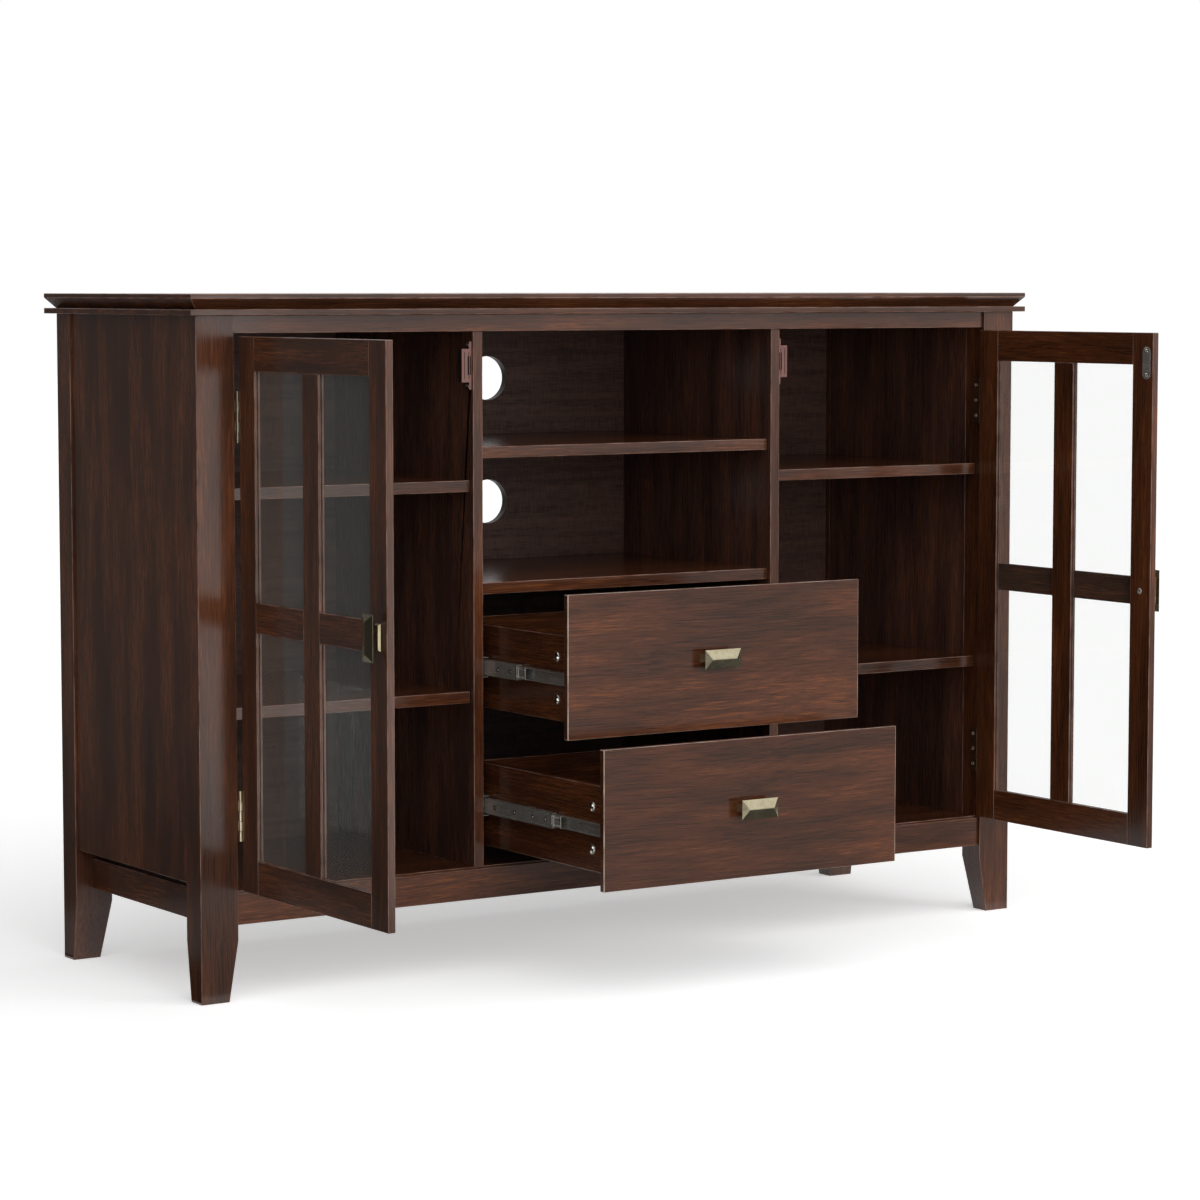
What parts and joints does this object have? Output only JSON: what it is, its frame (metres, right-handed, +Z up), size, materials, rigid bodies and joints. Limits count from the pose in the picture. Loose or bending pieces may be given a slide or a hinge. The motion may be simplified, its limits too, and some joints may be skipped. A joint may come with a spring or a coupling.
{
  "type": "tv stand",
  "caption": "Tall dark wood media cabinet on tapered feet with glazed doors, open shelves, drawers on ball-bearing slides and cable holes; a television stands on its top.",
  "frame": {"origin": "on the floor, half-way across the width and half-way along the depth of the stand with its doors open square", "axes": "+X to the viewer's right across the front, -Y out of the front, +Z up from the floor"},
  "size_m": [1.346, 0.793, 0.9],
  "materials": {
    "wood": "dark mahogany-brown satin lacquer over fine grain",
    "back_board": "brown printed board with a fine linen grain",
    "glass": "clear float glass",
    "pull_brass": "satin antique brass",
    "hinge_brass": "dull antique brass plate",
    "zinc_steel": "bright zinc plate",
    "bright_steel": "polished plate",
    "catch_plastic": "reddish brown moulded plastic"
  },
  "bodies": {
    "cabinet": {"top_board": "wood", "top_slab": "wood", "left_front_post": "wood", "right_front_post": "wood", "left_back_post": "wood", "right_back_post": "wood", "front_top_rail": "wood", "front_bottom_rail": "wood", "side_rails": "wood", "left_side_panel": "wood", "right_side_panel": "wood", "left_lining": "wood", "right_lining": "wood", "bottom_panel": "wood", "back_panel": "back_board", "left_divider": "wood", "right_divider": "wood", "drawer_shelf": "wood", "centre_shelf": "wood", "side_shelves": "wood", "shelf_pegs": "zinc_steel", "catch_housings": "catch_plastic", "catch_poles": "zinc_steel", "hinge_post_leaves": "hinge_brass", "hinge_pins": "hinge_brass", "carcass_screws": "zinc_steel", "slide_cabinet_members": "zinc_steel"},
    "left_door": {"left_door_stiles": "wood", "left_door_rails": "wood", "left_door_muntin": "wood", "left_door_glass": "glass", "left_door_pull": "pull_brass", "left_door_hinge_leaves": "hinge_brass", "left_door_strike_plate": "zinc_steel", "left_door_screws": "zinc_steel"},
    "right_door": {"right_door_stiles": "wood", "right_door_rails": "wood", "right_door_muntin": "wood", "right_door_glass": "glass", "right_door_pull": "pull_brass", "right_door_hinge_leaves": "hinge_brass", "right_door_strike_plate": "zinc_steel", "right_door_screws": "zinc_steel"},
    "upper_drawer": {"upper_drawer_front": "wood", "upper_drawer_sides": "wood", "upper_drawer_back": "wood", "upper_drawer_bottom": "back_board", "upper_drawer_pull": "pull_brass", "upper_drawer_fixings": "bright_steel", "upper_drawer_slide_members": "zinc_steel"},
    "lower_drawer": {"lower_drawer_front": "wood", "lower_drawer_sides": "wood", "lower_drawer_back": "wood", "lower_drawer_bottom": "back_board", "lower_drawer_pull": "pull_brass", "lower_drawer_fixings": "bright_steel", "lower_drawer_slide_members": "zinc_steel"},
    "upper_slide_middles": {"upper_middle_members": "zinc_steel"},
    "lower_slide_middles": {"lower_middle_members": "zinc_steel"}
  },
  "joints": [
    {"name": "left_door_hinge", "type": "hinge", "parent": "cabinet", "child": "left_door", "pos_m": [-0.605, -0.02655, 0.49465], "axis": [0, 0, 1], "range_deg": [-80, 90]},
    {"name": "right_door_hinge", "type": "hinge", "parent": "cabinet", "child": "right_door", "pos_m": [0.605, -0.02655, 0.49465], "axis": [0, 0, 1], "range_deg": [-90, 80]},
    {"name": "upper_drawer_slide", "type": "slide", "parent": "cabinet", "child": "upper_drawer", "axis": [0, -1, 0], "range_m": [-0.1917, 0.1083]},
    {"name": "lower_drawer_slide", "type": "slide", "parent": "cabinet", "child": "lower_drawer", "axis": [0, -1, 0], "range_m": [-0.2753, 0.0247]},
    {"name": "upper_middle_slide", "type": "slide", "parent": "cabinet", "child": "upper_slide_middles", "axis": [0, -1, 0], "range_m": [-0.0801, 0.0453]},
    {"name": "lower_middle_slide", "type": "slide", "parent": "cabinet", "child": "lower_slide_middles", "axis": [0, -1, 0], "range_m": [-0.1651, 0.0149]}
  ],
  "couplings": [
    {"joint": "upper_middle_slide", "follows": "upper_drawer_slide", "ratio": 0.41732},
    {"joint": "lower_middle_slide", "follows": "lower_drawer_slide", "ratio": 0.59935}
  ]
}
